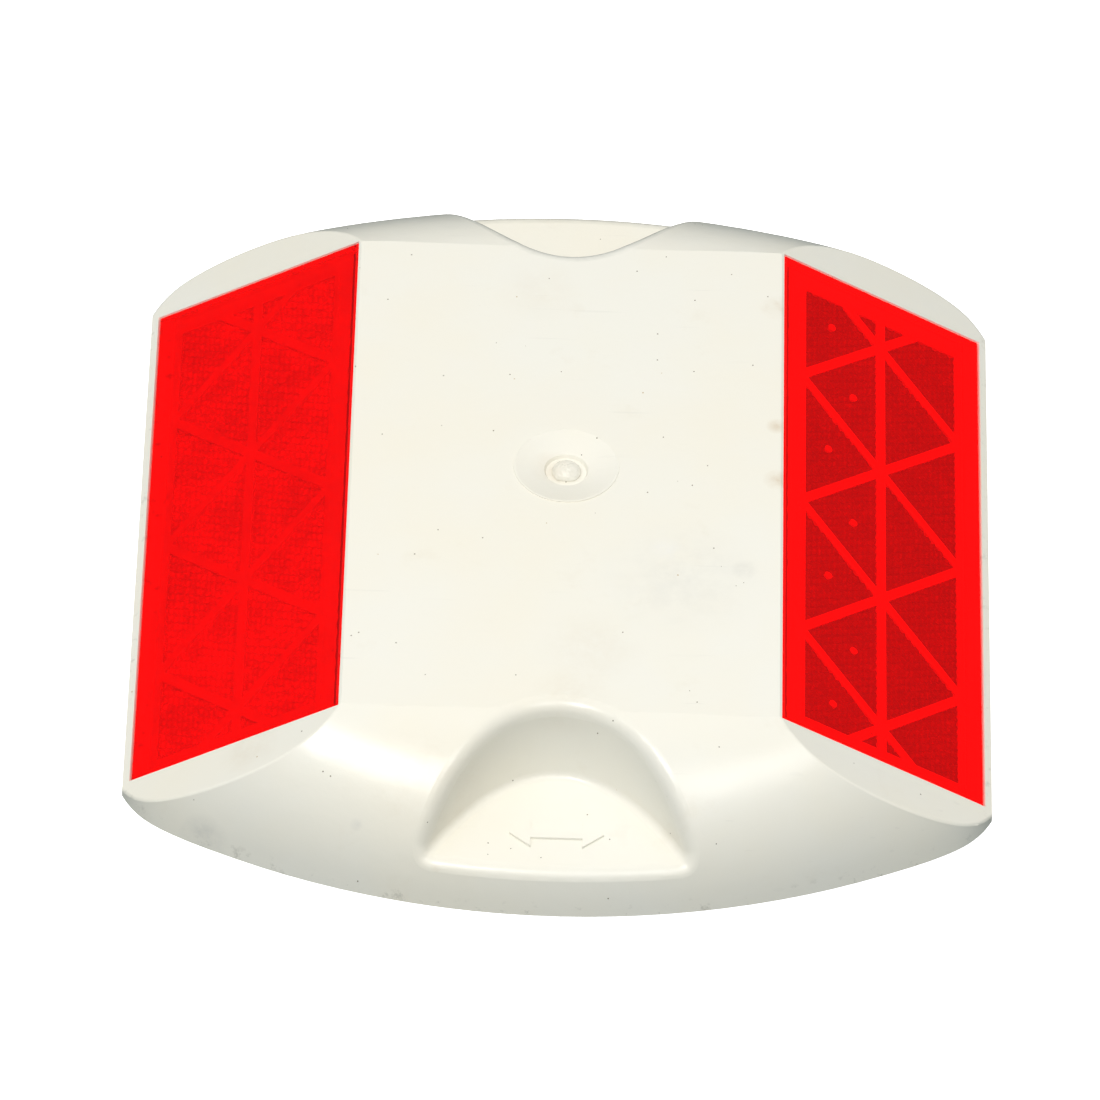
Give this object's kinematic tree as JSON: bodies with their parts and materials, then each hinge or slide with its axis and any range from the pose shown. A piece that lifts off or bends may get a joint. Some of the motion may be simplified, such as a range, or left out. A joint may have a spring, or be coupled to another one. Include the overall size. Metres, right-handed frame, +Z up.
{
  "type": "raised pavement marker",
  "caption": "Low two-way road stud: white crowned shell with finger scoops at both ends and a red reflector plate on each sloping face, filled and bonded flat to the road.",
  "frame": {"origin": "centre of the flat base, on the road surface", "axes": "+X towards the right lens, +Y towards the far finger scoop, +Z up from the road"},
  "size_m": [0.0888, 0.1016, 0.0133],
  "materials": {
    "shell_plastic": "moulded warm white ABS, semi-gloss, lightly scuffed",
    "potting": "filled epoxy, grey-brown",
    "grit": "sand grit set in epoxy, rough",
    "lens_right": "clear red acrylic plate welded to a triangular rib lattice",
    "lens_left": "clear red acrylic plate welded to a triangular rib lattice"
  },
  "bodies": {
    "root": {"housing": "shell_plastic", "potting_fill": "potting", "base_grit": "grit", "right_lens": "lens_right", "left_lens": "lens_left"}
  },
  "joints": []
}
